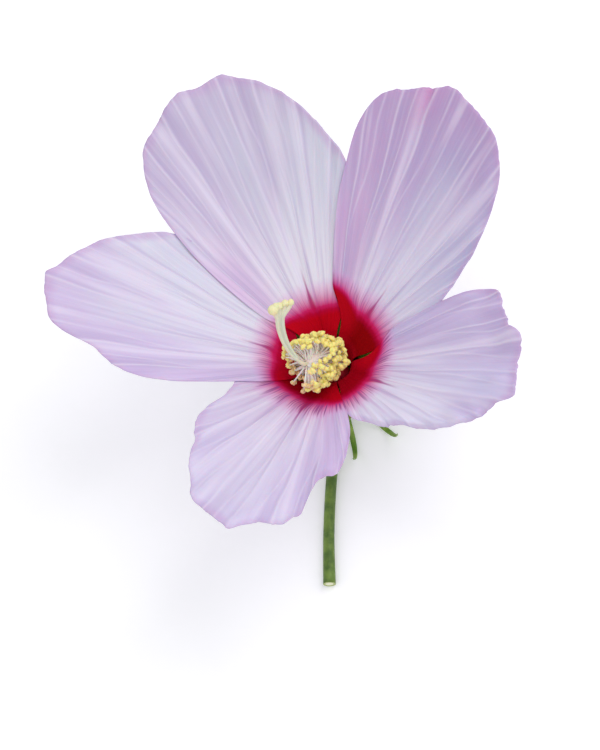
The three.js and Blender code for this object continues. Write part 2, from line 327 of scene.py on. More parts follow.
def through(points, at):
    """The height at one place of a smooth curve through a few [place, height] points."""
    k = next((i for i in range(1, len(points) - 1) if points[i][0] >= at), len(points) - 1)
    (x0, y0), (x1, y1) = points[k - 1], points[k]
    before, after = points[max(0, k - 2)], points[min(len(points) - 1, k + 1)]
    rise0 = (y1 - before[1]) / (x1 - before[0]) * (x1 - x0)
    rise1 = (after[1] - y0) / (after[0] - x0) * (x1 - x0)
    t = min(1.0, max(0.0, (at - x0) / (x1 - x0)))
    a = 2 * t**3 - 3 * t**2 + 1
    b = t**3 - 2 * t**2 + t
    return a * y0 + b * rise0 + (1 - a) * y1 + (t**3 - t**2) * rise1


def funnel_height(radius):
    if radius < THROAT_R:
        return through(THROAT, radius)
    out = radius - THROAT_R
    opening = (TIP_SLOPE - THROAT_SLOPE) / (2 * (PETAL_REACH - THROAT_R))
    return THROAT_Z + THROAT_SLOPE * out + opening * out * out


print("the funnel is", round(funnel_height(PETAL_REACH)), "mm high at the longest petal's tip")

# %% [markdown]
# Each petal's outline is a few points round its margin, as an azimuth and a distance from the axis in
# millimetres. `claw` is where its narrow foot stands, `frill` is how strongly its margin waves, and
# `crease` is where its middle fold lies and how far the dark spike of the eye runs out along it. `eye` is
# how far the eye reaches at the clockwise margin, in the middle and at the anticlockwise margin, and
# `streaks` is how strong the short dark lines beyond it are. One more entry is a pale patch of painted
# highlight along a broad fold, as an azimuth, the radius where it starts and the radius where it ends.
# One petal has a stretch of its margin `rolled` under, and another has a small `tuck` in its tip.

# %% The five petals
PETALS = {
    "petal_back": {
        "claw": 82, "frill": 0.6, "crease": (81.5, 21), "eye": (16.3, 15.3, 16.4), "streaks": 0.25,
        "fold_highlight": (113, 40, 54),
        "outline": [(47, 38), (57, 53), (63, 59.4), (69, 65.8), (75, 71), (81, 75), (85, 77.4), (90, 76.8),
                    (96, 77.2), (102, 74.4), (108, 72), (111, 68.8), (114, 64.5), (117, 57.8), (119.5, 49),
                    (121.5, 40), (124, 26)],
    },
    "petal_left": {
        "claw": 156, "frill": 0.6, "crease": (146, 19.5), "eye": (16.5, 15.6, 17.2), "streaks": 0.45,
        "fold_highlight": (142, 38, 56),
        "outline": [(109, 32), (119, 52), (125, 58.8), (131, 64.8), (137, 70.4), (143, 74.6), (146, 76.4),
                    (155, 74), (158, 70.5), (161, 63), (164, 60.4), (167, 57.2), (170, 51.8), (173, 43),
                    (177, 27), (181, 20)],
    },
    "petal_front_left": {
        "claw": 232, "frill": 0.9, "crease": (224.5, 20.5), "eye": (17.8, 15.4, 16.2), "streaks": 0.8,
        "fold_highlight": (222, 30, 56),
        "outline": [(168, 20), (174, 25.5), (183, 31), (186, 36.5), (192, 42.6), (198, 46.8), (204, 52.6),
                    (210, 58), (213, 61.6), (219, 64.2), (226, 67.2), (228, 68.2), (230, 66), (234, 63),
                    (240, 62.8), (242, 60), (244.4, 58.4), (245.4, 50.5), (248.4, 45.2), (252.5, 44.6),
                    (255.5, 42.4), (261, 33), (264, 27.4), (266, 20)],
    },
    "petal_front_right": {
        "claw": 300, "frill": 1.3, "crease": (304.5, 20.5), "eye": (15.2, 14.9, 17), "streaks": 0.7,
        "fold_highlight": (300, 30, 44), "rolled": (276, 304),
        "outline": [(263, 19), (269, 24), (275, 26.2), (281, 31.2), (287, 35.5), (296, 49), (302, 56),
                    (308, 60), (311, 65), (314, 64), (320, 62), (326, 62.2), (332, 57.2), (338, 55.2),
                    (344, 54), (347, 50.5), (350, 41), (351.3, 32), (353.2, 23)],
    },
    "petal_back_right": {
        "claw": 372, "frill": 0.6, "crease": (379.7, 21), "eye": (16.8, 16.2, 20.6), "streaks": 0.4,
        "fold_highlight": (378, 30, 54), "tuck": 397,
        "outline": [(340, 27), (353, 38.7), (357, 44.4), (360, 50), (366, 59.4), (372, 67.8), (378, 73.2),
                    (384, 75.2), (393, 77.2), (396, 75.4), (402, 72.6), (408, 70.2), (411, 66.4),
                    (414, 60.5), (416.2, 51.6), (418.2, 43), (419.3, 35), (420, 24)],
    },
}
print(len(PETALS), "petals")

# %% [markdown]
# A real petal is never a smooth sheet. It has slow folds and fine ripples along its rays, a crease down the
# middle and a margin that waves more the further out it is. Each of these is a height in millimetres that
# is added to the funnel, and most are drawn by noise, so that no two petals are alike.

# %% Where a point of a petal lies
FOLD, RIPPLE = 1.1, 0.45
CREASE_DEPTH, CREASE_WIDTH = 0.6, 1.5
SLOW_WAVE, FRILL_WAVE = 2.2, 1.6
ROLL_DEPTH, ROLL_WIDTH = 1.8, 2.6
TUCK_DEPTH, TUCK_WIDTH, TUCK_LENGTH = 1.3, 0.9, 16
LARGE_NICK, SMALL_NICK = 0.7, 0.4
OUTWARD_SPREAD = 1.15


def fan(petal):
    """The azimuths of the petal's two margins."""
    return petal["outline"][0][0], petal["outline"][-1][0]


def margin_reach(petal, azimuth):
    """How far the petal reaches at an azimuth, with the fine uneven nicks of its margin."""
    nicks = noise.noise(Vector((azimuth * 0.3, petal["claw"], 0))) * LARGE_NICK
    nicks += noise.noise(Vector((azimuth * 0.9, petal["claw"], 5))) * SMALL_NICK
    return through(petal["outline"], azimuth) + nicks * petal["frill"]


def petal_place(petal, across, along):
    """The radius, azimuth and height of a point of the petal. across runs from -1 at the clockwise margin
    to 1 at the anticlockwise one, and along from 0 at the claw to 1 at the outer margin."""
    fan_azimuth = mix(*fan(petal), (across + 1) / 2)
    reach = margin_reach(petal, fan_azimuth)
    if along <= CLAW_SHARE:
        place = along / CLAW_SHARE * (len(THROAT) - 1)
        radius = through([(k, r) for k, (r, _) in enumerate(THROAT)], place)
    else:
        radius = mix(THROAT_R, reach, ((along - CLAW_SHARE) / (1 - CLAW_SHARE)) ** OUTWARD_SPREAD)
    full_fan = mix(FULL_FAN_CLOCKWISE_R, FULL_FAN_ANTICLOCKWISE_R, (across + 1) / 2)
    fanned = smoothstep(radius, CLAW_END_R, full_fan)
    azimuth = mix(petal["claw"] + across * CLAW_HALF_ANGLE, fan_azimuth, fanned)
    height = funnel_height(radius) + petal_relief(petal, across, radius, azimuth, reach)
    return radius, azimuth, height


def petal_relief(petal, across, radius, azimuth, reach):
    """How far the petal stands above the funnel: overlap, folds, ripples, crease and waving margin."""
    beyond = max(0.0, radius - THROAT_R)
    overlap = min(1.0, beyond / 2) * (OVERLAP_RISE + OVERLAP_RISE_PER_MM * beyond) * across
    out = smoothstep(radius, 14, 45)
    fold = FOLD * noise.noise(Vector((azimuth * 0.075, radius * 0.012, 7)))
    ripples = RIPPLE * noise.noise(Vector((azimuth * 0.3, radius * 0.022, 9)))
    off_crease = (azimuth - petal["crease"][0]) * math.radians(radius)
    crease = -CREASE_DEPTH * math.exp(-((off_crease / CREASE_WIDTH) ** 2)) * (1 - smoothstep(radius, 22, 60))
    to_reach = smoothstep(radius, reach - 14, reach)
    near_edge = max(to_reach, 0.3 * smoothstep(abs(across), 0.75, 1.0))
    slow = noise.noise(Vector((azimuth * 0.09, radius * 0.05, 1)))
    frill = noise.noise(Vector((azimuth * 0.3, radius * 0.11, 3)))
    waving = (SLOW_WAVE * slow * near_edge + FRILL_WAVE * frill * to_reach) * out * petal["frill"]
    if "rolled" in petal:
        from_az, to_az = petal["rolled"]
        along_roll = smoothstep(azimuth, from_az - 6, from_az) * (1 - smoothstep(azimuth, to_az, to_az + 8))
        waving -= ROLL_DEPTH * along_roll * smoothstep(radius, reach - ROLL_WIDTH, reach) ** 2
    if "tuck" in petal:
        off_tuck = (azimuth - petal["tuck"]) * math.radians(radius) / TUCK_WIDTH
        waving -= TUCK_DEPTH * math.exp(-(off_tuck ** 2)) * smoothstep(radius, reach - TUCK_LENGTH, reach)
    return overlap + (fold + ripples) * out + crease + waving


# %% [markdown]
# ## Make a petal
# A petal starts as a flat grid. Its vertices are moved to the surface, and each keeps where it came from in
# a UV map: U runs across the petal and V is the distance from the axis in decimetres, so that the colours
# can follow the petal's own rays. Its distance from the outer margin is kept as well. Solidify then gives the
# sheet the thickness of a real petal.

# %% Petal meshes
PETAL_COLUMNS, PETAL_ROWS = 140, 110
PETAL_THICKNESS = 0.28
UV_MM = 100


def show(bm, name, materials, nodes, thickness=0.0):
    """Turns a bmesh into a finished piece that rides on the flower and stands for its CAD nodes. A closed
    shape has its faces turned outward, and a sheet is given its thickness in millimetres."""
    if not thickness:
        bmesh.ops.recalc_face_normals(bm, faces=bm.faces)
    piece = add_mesh(bm, name, materials)
    piece.data.shade_smooth()
    if thickness:
        wall = piece.modifiers.new("thickness", "SOLIDIFY")
        wall.thickness = thickness * MM
        wall.offset = 0
    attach(piece, "root")
    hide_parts(*nodes)
    print(name, len(piece.data.polygons), "faces")


def petal_mesh(petal):
    """One petal as a sheet, with a UV map called petal and a value called rim on its vertices."""
    bm = bmesh.new()
    bmesh.ops.create_grid(bm, x_segments=PETAL_COLUMNS, y_segments=PETAL_ROWS, size=1)
    uv = bm.loops.layers.uv.new("petal")
    rim = bm.verts.layers.float.new("rim")
    places = {}
    for v in bm.verts:
        across, along = v.co.x, (v.co.y + 1) / 2
        radius, azimuth, height = petal_place(petal, across, along)
        places[v] = ((across + 1) / 2, radius / UV_MM)
        v[rim] = margin_reach(petal, mix(*fan(petal), (across + 1) / 2)) - radius
        v.co = polar(radius, azimuth, height)
    for face in bm.faces:
        for loop in face.loops:
            loop[uv].uv = places[loop.vert]
    bmesh.ops.recalc_face_normals(bm, faces=bm.faces)
    if sum(face.normal.z for face in bm.faces) < 0:
        bmesh.ops.reverse_faces(bm, faces=bm.faces)
    return bm


# %% [markdown]
# ## The petals' colour
# Each petal is pinker towards one side and bluer towards the other, with its own tint at the tip, and pale
# round the eye. Soft bands and fine streaks run out along it, and the bands are partly painted light and
# shade of the petal's broad folds. Noise that is stretched along the UV map draws them, so they follow the
# petal's own rays as grown ones do.

# %% Petal body colour
PALE_VEIN_AND_FOLD_LIGHT, SHADE = srgb(236, 230, 246), srgb(180, 165, 205)
PAINTED_FOLD_HIGHLIGHT, RIM_LILAC, TUCK_FLUSH = srgb(232, 230, 243), srgb(196, 160, 208), srgb(206, 130, 190)


def along_fan(petal, azimuth):
    """An azimuth as a share of the way across the petal."""
    first, last = fan(petal)
    return (azimuth - first) / (last - first)


def side_tints(n, petal, across, radius, patches, tints):
    """From side to side, then the tip, the pale base, the pink side low down and the painted fold highlight.
    """
    anticlockwise, clockwise, tip, low, pink = tints
    body = n.blend(n.ramp_up(across + patches * 0.9, 0.25, 1.0), clockwise, anticlockwise)
    body = n.blend(n.ramp_up(radius + patches * 40.0, 48.0, 78.0), body, tip)
    body = n.blend(n.ramp_up(radius, 54.0, 20.0) * 0.8, body, low)
    wide = across + patches * 0.2
    low_side = n.ramp_up(wide, 0.68, 0.9) * n.ramp_up(radius, 52.0, 38.0)
    body = n.blend(low_side * 0.9, body, pink)
    # The pale patch is painted highlight along one broad fold of the petal.
    azimuth, start, end = petal["fold_highlight"]
    beside = abs(wide - along_fan(petal, azimuth))
    fold_highlight = n.ramp_up(radius, start - 8.0, start + 4.0) * n.ramp_up(radius, end + 12.0, end - 4.0)
    fold_highlight = fold_highlight * n.ramp_up(beside, 0.2, 0.03)
    return n.blend(fold_highlight * 0.42, body, PAINTED_FOLD_HIGHLIGHT)


def bands_and_rim(n, petal, uv, across, radius, patches, body):
    """Soft bands along the rays, partly own colour and partly painted fold light and shade, a lilac rim and
    any tuck's flush.
    """
    bands = n.noise(n.stretch(uv, (17, 1.3, 1)), 1.0, 2)
    banding = n.ramp_up(radius, 42.0, 22.0) * 0.22 + 0.5
    # The pale and dark bands are partly the petal's own colour and partly painted light and shade of its
    # folds.
    body = n.blend(n.ramp_up(bands, 0.48, 0.7) * banding, body, PALE_VEIN_AND_FOLD_LIGHT)
    body = n.blend(n.ramp_up(bands, 0.5, 0.28) * banding, body, SHADE)
    rim = n.kept("rim")
    at_rim = n.ramp_up(rim + patches * 9.0, 3.2, 0.0)
    body = n.blend(at_rim * 0.5, body, RIM_LILAC)
    if "tuck" in petal:
        beside = abs(across - along_fan(petal, petal["tuck"]))
        flush = n.ramp_up(beside, 0.06, 0.0) * n.ramp_up(rim, 13.0, 2.0)
        body = n.blend(flush * 0.55, body, TUCK_FLUSH)
    return body


# %% [markdown]
# About ten main veins run out along each petal. They are a little paler than the petal between them, waver,
# come and go, and fork on their way out. A cosine that is raised to a high power is a row of thin lines, and
# a second row that drifts out of step with the first makes the forks. A third row, just beside the veins,
# darkens the petal there as painted shade of the raised veins.

# %% Petal streaks and veins
VEIN_SHARPNESS, FORK_SHARPNESS, VEIN_SHADOW_SHARPNESS = 80.0, 100.0, 30.0


def fine_streaks(n, fine, hair, body):
    body = n.blend(n.ramp_up(fine, 0.5, 0.75) * 0.18, body, PALE_VEIN_AND_FOLD_LIGHT)
    body = n.blend(n.ramp_up(fine, 0.5, 0.25) * 0.16, body, SHADE)
    return n.blend(n.ramp_up(hair, 0.4, 0.7) * 0.08, body, PALE_VEIN_AND_FOLD_LIGHT)


def petal_veins(n, uv, across, radius, body):
    """Gives back the colour with the veins, and the veins by themselves for the relief."""
    waver = n.noise(n.stretch(uv, (2.6, 1.8, 1)), 1.0, 2) - 0.5
    phase = (across + waver * 0.13) * (VEINS * math.pi)
    strength = n.ramp_up(n.noise(n.stretch(uv, (12, 2.2, 1)), 1.0, 2), 0.32, 0.56)

    def lines(wave, sharpness):
        return abs(n.maths("COSINE", wave)) ** sharpness

    main = lines(phase, VEIN_SHARPNESS) * n.ramp_up(radius, 15.0, 24.0)
    bent = n.ramp_up(radius, 60.0, 26.0) * 1.35
    forked = lines(phase + (1.5 - bent), FORK_SHARPNESS)
    forked = forked * n.ramp_up(radius, 26.0, 42.0) * 0.6
    vein = n.maths("MAXIMUM", main, forked) * (strength * 0.75 + 0.25)
    body = n.blend(vein * 0.5, body, PALE_VEIN_AND_FOLD_LIGHT)
    # Painted shade: a darker line runs just beside each vein, as the raised vein's shadow.
    vein_shadow = lines(phase + 0.3, VEIN_SHADOW_SHARPNESS) * n.ramp_up(radius, 17.0, 30.0)
    return n.blend(vein_shadow * strength * 0.35, body, SHADE), vein


# %% [markdown]
# The eye is crimson. Its edge is a slightly uneven line, and it fades out through magenta and pink over a few
# millimetres. It sends one thin spike out along the middle crease, fine dark streaks cross its edge, and
# faint pink rays run on beyond them. `outside` is the distance beyond the edge, so one list of colours
# against it paints the whole fringe.

# %% Petal eye
FRINGE = [(-1.2, srgb(184, 4, 62)), (0, srgb(204, 36, 102)), (1, srgb(212, 54, 138)), (2, srgb(214, 90, 156)),
          (3.2, srgb(218, 116, 180)), (6, srgb(224, 148, 214))]
CRIMSON_STREAK, CRIMSON_SIDE, CRIMSON_PAINTED_THROAT_LIGHT = srgb(130, 0, 10), srgb(200, 2, 30), srgb(225, 20, 48)
RAY, STREAK = srgb(198, 142, 196), srgb(138, 66, 134)
SPIKE_TIP, SPIKE_ROOT = srgb(160, 70, 140), srgb(190, 6, 76)


def outside_eye(n, petal, uv, across, radius):
    """The distance beyond the eye's edge, which counts for more in the anticlockwise corner."""
    low_reach, middle_reach, high_reach = petal["eye"]
    low = n.ramp_up(across, 0.4, 0.0) * (low_reach - middle_reach)
    corner = n.ramp_up(across, 0.66, 1.0)
    high = corner * (high_reach - middle_reach)
    edge = low + high + middle_reach
    flame = n.noise(n.stretch(uv, (16, 0.5, 1)), 1.0, 3, 0.6) - 0.5
    outside = radius - (edge + flame * 1.6)
    return outside * (corner * 0.6 + 1.0)


def paint_eye(n, petal, across, radius, outside, fine, deep, body):
    """The rays, the fringe and the crimson, which is painted brighter deep in the throat as painted light."""
    rays = n.ramp_up(fine, 0.42, 0.66) * n.ramp_up(outside, 17.0, 3.0)
    body = n.blend(rays * (max(0.0, petal["streaks"] - 0.3) * 1.2), body, RAY)
    eye = n.blend(n.straight(outside, 7.2, 0.0), body, n.colours(outside, FRINGE))
    crimson = n.blend(n.ramp_up(fine, 0.4, 0.65) * 0.3, deep, CRIMSON_STREAK)
    crimson = n.blend(n.ramp_up(across, 0.5, 0.9) * 0.6, crimson, CRIMSON_SIDE)
    # Painted light: the crimson is brighter deep in the throat, to make up for the shade there.
    crimson = n.blend(n.ramp_up(radius, 9.5, 6.5) * 0.7, crimson, CRIMSON_PAINTED_THROAT_LIGHT)
    return n.blend(n.ramp_up(outside, -0.4, -2.8), eye, crimson)


def paint_spike(n, petal, across, radius, outside, eye):
    """The spike in the crease: its half width in degrees shrinks on its way out, and it grows fainter."""
    crease_azimuth, spike_end = petal["crease"]
    first, last = fan(petal)
    off = abs(across - along_fan(petal, crease_azimuth)) * (last - first)
    still = n.straight(radius, spike_end, petal["eye"][1])
    half = still ** 1.4 * 3.6 + 0.9
    spike = n.ramp_up(off, half * 1.5, half * 0.2)
    spike = spike * n.ramp_up(radius, spike_end + 7.0, spike_end - 2.5) * 0.9
    spike = spike * n.ramp_up(outside, -1.5, 0.5)
    return n.blend(spike, eye, n.blend(still, SPIKE_TIP, SPIKE_ROOT))


def paint_streaks(n, petal, uv, outside, eye):
    """Thin dark streaks of uneven length that run on past the edge."""
    streak = n.ramp_up(n.noise(n.stretch(uv, (50, 2.0, 1)), 1.0, 3, 0.7), 0.46, 0.6)
    reach_out = n.noise(n.stretch(uv, (36, 0.3, 1)), 1.0, 1) * 11.0
    near = n.ramp_up(reach_out - outside, 0.0, 3.0)
    near = near * n.ramp_up(outside, -0.6, 1.0)
    return n.blend(near * streak * petal["streaks"], eye, STREAK)


# %% [markdown]
# The layers now go on from the ground up, and the veins and streaks also raise the surface a little. A petal
# is thin and soft, so a little light passes under its skin and it hardly shines.

# %% Petal material
def petal_material(name, petal, tints):
    n = Nodes(name, 0.6, Subsurface_Weight=0.12, Subsurface_Scale=0.001, Specular_IOR_Level=0.04)
    uv = n.add("UVMap", uv_map="petal")
    across, outward, _ = n.split(uv)
    radius = outward * UV_MM
    patches = n.noise(n.stretch(uv, (5, 3, 1)), 1.0, 3) - 0.5
    fine = n.noise(n.stretch(uv, (46, 1.8, 1)), 1.0, 4, 0.6)
    hair = n.noise(n.stretch(uv, (190, 3.0, 1)), 1.0, 3)
    *side, deep = [srgb(*tint) for tint in tints]

    body = side_tints(n, petal, across, radius, patches, side)
    body = bands_and_rim(n, petal, uv, across, radius, patches, body)
    body = fine_streaks(n, fine, hair, body)
    body, vein = petal_veins(n, uv, across, radius, body)
    outside = outside_eye(n, petal, uv, across, radius)
    eye = paint_eye(n, petal, across, radius, outside, fine, deep, body)
    eye = paint_spike(n, petal, across, radius, outside, eye)
    n.colour(paint_streaks(n, petal, uv, outside, eye))

    relief = vein * 0.55 + fine * 0.7
    n.relief(relief + hair * 0.3, 0.45 * MM, 0.5)
    return n.material


# %% [markdown]
# No two petals have the same tint, because each has its own age and faces the light in its own way. Each
# row gives one petal's tints: anticlockwise side, clockwise side, tip, low in the middle, low pink side and
# eye.

# %% The five finished petals
TINTS = {
    "petal_back": ((198, 182, 215), (206, 209, 224), (197, 188, 215), (238, 237, 246), (224, 194, 228),
                   (196, 0, 26)),
    "petal_left": ((206, 184, 226), (213, 214, 232), (208, 192, 226), (230, 231, 243), (211, 192, 229),
                   (176, 0, 42)),
    "petal_front_left": ((207, 192, 227), (207, 197, 229), (218, 211, 240), (217, 208, 228), (210, 188, 227),
                         (156, 0, 20)),
    "petal_front_right": ((195, 177, 216), (213, 211, 239), (199, 179, 220), (224, 222, 240),
                          (200, 185, 223), (156, 0, 24)),
    "petal_back_right": ((194, 167, 208), (174, 172, 209), (184, 159, 202), (228, 227, 242),
                         (204, 168, 210), (142, 0, 6)),
}

for name, petal in PETALS.items():
    skin = petal_material(name + "_skin", petal, TINTS[name])
    show(petal_mesh(petal), name + "_sheet", [skin], [name], PETAL_THICKNESS)

# %% [markdown]
# ## Sweeping a stalk along a route
# The stalk, the bractlets, the column, its filaments and the style are all round shoots that follow a
# curve. Each is one ring of vertices that is extruded along its route: at each step the ring moves on,
# turns to face along the route and takes its new radius. The ends are closed with a cap.

# %% Routes and rings
def smooth_route(points, steps):
    """Places along a smooth curve through a few points, evenly spread between each two."""
    pts = [points[0] * 2 - points[1], *points, points[-1] * 2 - points[-2]]
    route = []
    for k in range(1, len(pts) - 2):
        a, b, c, d = pts[k - 1:k + 3]
        for i in range(steps):
            t = i / steps
            route.append(0.5 * (2 * b + (c - a) * t + (2 * a - 5 * b + 4 * c - d) * t**2
                                + (3 * b - a - 3 * c + d) * t**3))
    return route + [points[-1].copy()]


def distances(route):
    """The distance along the route to each of its places, in millimetres."""
    run = [0.0]
    for a, b in zip(route, route[1:]):
        run.append(run[-1] + (b - a).length / MM)
    return run


def taper(route, root, tip):
    """One radius for each place of the route, changing evenly from root to tip."""
    return [mix(root, tip, k / (len(route) - 1)) for k in range(len(route))]


def facing(route):
    """A turn for each place of the route, each carried on from the last so that nothing twists."""
    ahead = [(b - a).normalized() for a, b in zip([route[0]] + route[:-1], route[1:] + [route[-1]])]
    turns = [ahead[0].to_track_quat("Z", "Y")]
    for last, new in zip(ahead, ahead[1:]):
        turns.append(last.rotation_difference(new) @ turns[-1])
    return turns


def sweep(bm, route, radii, sides, flat=1.0, turns=None):
    """Extrudes a ring along the route. radii are millimetres, one for each place; flat squeezes the ring."""
    ring = bmesh.ops.create_circle(bm, cap_ends=True, segments=sides, radius=1)["verts"]
    edges = ring[0].link_faces[0].edges[:]
    before = Matrix()
    for k, (place, turn) in enumerate(zip(route, turns or facing(route))):
        size = Matrix.Diagonal((radii[k] * MM, radii[k] * MM * flat, radii[k] * MM, 1))
        now = Matrix.Translation(place) @ turn.to_matrix().to_4x4() @ size
        if k:
            grown = bmesh.ops.extrude_edge_only(bm, edges=edges)["geom"]
            ring = [g for g in grown if isinstance(g, bmesh.types.BMVert)]
            new = set(ring)
            edges = [g for g in grown if isinstance(g, bmesh.types.BMEdge) and all(v in new for v in g.verts)]
        bmesh.ops.transform(bm, matrix=now @ before.inverted(), verts=ring)
        before = now
    bmesh.ops.contextual_create(bm, geom=edges)


# %% [markdown]
# ## Calyx
# The calyx is one grown cup that ends in five pointed lobes, each under a gap between two petals. Its
# section is drawn once and spun round the axis, as if it were one wide collar. The collar is then drawn in
# between the lobes, and the ribs that run up to each point are raised.

# %% Calyx section
CALYX_BASE_Z, CALYX_RIM_Z, CALYX_RIM_R, CALYX_LOBE_R = 9, 26, 9.8, 22.4
LOBE_SLOPE, LOBE_CURL, LOBE_POINT = 0.3, 0.0035, 1.12
LOBES, FIRST_LOBE = 5, 45
CALYX_STEPS = 140
RIB, SWELL = 0.22, 0.25


def lobe_sheet(radius):
    return CALYX_RIM_Z + LOBE_SLOPE * (radius - CALYX_RIM_R)


def lobe_share(azimuth):
    """1 on the middle line of a lobe, and near 0 in the notch between two."""
    turns = (azimuth - FIRST_LOBE) / (360 / LOBES)
    off = 2 * abs(turns - round(turns))
    return max(0.05, 1 - off ** LOBE_POINT)


def calyx_collar():
    """The spun collar, still in millimetres."""
    outside = [(0, CALYX_BASE_Z), (3.4, CALYX_BASE_Z + 0.05), (6.3, 10.4), (7.9, 13.5), (8.8, 18.5),
               (9.4, 23.5), (CALYX_RIM_R, CALYX_RIM_Z - 0.3), (14, lobe_sheet(14) - 0.35),
               (18, lobe_sheet(18) - 0.3), (CALYX_LOBE_R, lobe_sheet(CALYX_LOBE_R) - 0.12)]
    inside = [(CALYX_LOBE_R, lobe_sheet(CALYX_LOBE_R) + 0.12), (18, lobe_sheet(18) + 0.3),
              (14, lobe_sheet(14) + 0.35), (CALYX_RIM_R - 0.7, CALYX_RIM_Z + 0.1), (8.65, 23.7),
              (8.1, 18.7), (7.2, 13.9), (5.9, 11.5), (4.9, 10.2), (0, 10.2)]
    bm = bmesh.new()
    section = []
    for half in (outside, inside):
        section += smooth_route([Vector((r, 0, z)) for r, z in half], 3)
    verts = [bm.verts.new(p) for p in section]
    for a, b in zip(verts, verts[1:]):
        bm.edges.new((a, b))
    bmesh.ops.spin(bm, geom=bm.verts[:] + bm.edges[:], axis=(0, 0, 1), cent=(0, 0, 0), angle=2 * math.pi,
                   steps=CALYX_STEPS, use_merge=True)
    bmesh.ops.remove_doubles(bm, verts=bm.verts, dist=0.001)
    return bm


# %% Calyx lobes and ribs
def calyx_mesh():
    bm = calyx_collar()
    for v in bm.verts:
        radius, azimuth = math.hypot(v.co.x, v.co.y), math.degrees(math.atan2(v.co.y, v.co.x))
        share, lift = lobe_share(azimuth), 0.0
        if radius > CALYX_RIM_R:
            drawn_in = mix(CALYX_RIM_R, radius, share)
            lift = lobe_sheet(drawn_in) - lobe_sheet(radius)
            lift += LOBE_CURL * (drawn_in - CALYX_RIM_R) ** 2
            radius = drawn_in
        rib = RIB * max(0, math.cos(math.radians(azimuth - FIRST_LOBE) * LOBES * 2)) ** 4
        outer = smoothstep(radius, 4, 8)
        under = -1 if v.co.z < lobe_sheet(max(radius, CALYX_RIM_R)) else 0
        swell = SWELL * noise.noise(Vector((azimuth * 0.07, v.co.z * 0.15, 0)))
        above_foot = v.co.z > CALYX_BASE_Z + 0.5
        grown = radius + (rib * (1 - smoothstep(radius, 9, 11)) + swell) * outer * above_foot
        v.co = polar(grown, azimuth, v.co.z + lift + rib * under * smoothstep(radius, 10, 12))
    return bm


# %% [markdown]
# ## Green skin
# Green parts share one kind of finish: a leaf green that is mottled, paler along its ribs and a little
# glossy, with a fine hairy grain. The ribs of the calyx are drawn by the angle round the axis, so the
# object coordinates are first moved to the axis. On the calyx the green is also darker towards the axis,
# which is painted shade inside the cup.

# %% Green material
RIB_SHARPNESS = 14.0


def green_material(name, green, pale, dark, grain, ribs):
    """grain is the height of the hairy grain in millimetres, and ribs is how many ribs run up it."""
    n = Nodes(name, 0.5, Subsurface_Weight=0.08, Subsurface_Scale=0.0008)
    here = n.here()
    mottle = n.noise(here, 260.0, 4)
    colour = n.blend(n.ramp_up(mottle, 0.35, 0.7), green, pale)
    colour = n.blend(n.ramp_up(n.noise(here, 900.0, 2), 0.5, 0.75) * 0.3, colour, dark)
    height = n.noise(here, 1900.0, 2) * 0.5
    if ribs:
        x, y, _ = n.split(n.add("Mapping", {"Vector": here, "Location": -AXIS}))
        angle = n.maths("ARCTAN2", y, x) - math.radians(FIRST_LOBE)
        rib = abs(n.maths("COSINE", angle * (ribs / 2))) ** RIB_SHARPNESS
        colour = n.blend(rib * 0.5, colour, pale)
        height = height + rib
        # Painted shade: the inside of the cup is darker near the axis.
        radius = n.maths("SQRT", x * x + y * y)
        colour = n.blend(n.ramp_up(radius, 15 * MM, 9 * MM) * 0.3, colour, dark)
    n.colour(colour)
    n.relief(height, grain * MM, 0.5)
    return n.material


leaf = green_material("calyx_green", srgb(92, 136, 30), srgb(142, 174, 66), srgb(60, 98, 12), 0.25, 20)
show(calyx_mesh(), "calyx_cup", [leaf], ["calyx"])

# %% [markdown]
# ## Epicalyx
# Ten thin bractlets grow in a ring below the calyx. Each arches out and down to the table and turns up
# again at its tip, so that together they are the feet the flower stands on. Each is a flat strap: its ring
# is squeezed, and it is turned so that it lies wide across its own arch.

# %% Bractlets
BRACTLETS, PEDICEL_AZIMUTH = 10, 240
ARCH = [(3.5, 8.2), (7.2, 6.6), (12, 2.7), (16.4, 0.75), (20.4, 2.1), (23.2, 5.6), (24.6, 10)]
STRAP_HALF_WIDTH, STRAP_FLATNESS = 0.85, 0.5
STRAP_TAPER = [(0, 0.8), (0.2, 1), (0.45, 1), (0.7, 0.8), (0.9, 0.45), (1, 0.12)]
VEER_R, MOST_VEER = 24, 3


def bractlet_mesh(azimuth, veer):
    """One bractlet at an azimuth, whose tip veers to one side by some degrees."""
    points = [polar(r, azimuth + veer * (r / VEER_R) ** 2, z) for r, z in ARCH]
    route = smooth_route(points, 5)
    runs = distances(route)
    radii = [STRAP_HALF_WIDTH * through(STRAP_TAPER, run / runs[-1]) for run in runs]
    turns = []
    for k in range(len(route)):
        ahead = (route[min(k + 1, len(route) - 1)] - route[max(k - 1, 0)]).normalized()
        sideways = Vector((-math.sin(math.radians(azimuth)), math.cos(math.radians(azimuth)), 0))
        up = ahead.cross(sideways).normalized()
        turns.append(Matrix((up.cross(ahead), up, ahead)).transposed().to_quaternion())
    bm = bmesh.new()
    sweep(bm, route, radii, 12, STRAP_FLATNESS, turns)
    return bm


strap = green_material("bractlet_green", srgb(96, 138, 34), srgb(146, 176, 72), srgb(62, 98, 16), 0.15, 0)
for k in range(BRACTLETS):
    name = f"bractlet_{k + 1:02d}"
    bm = bractlet_mesh(PEDICEL_AZIMUTH + 360 / BRACTLETS * (k + 0.5), rng.uniform(-MOST_VEER, MOST_VEER))
    show(bm, name + "_strap", [strap], [name])

# %% [markdown]
# ## Stalk
# The flower's own stalk widens into the seat that carries the calyx and the bractlets. It bends at its
# joint and lies along the table to the cut. The cut face is inset twice, for the skin, the woody ring and
# the pith.

# %% Stalk
PEDICEL_RADIUS, PEDICEL_RUN = 1.75, 60
ABOVE_TABLE = 0.15
SKIN, WOOD = 0.22, 0.5
STALK_SIDES = 28


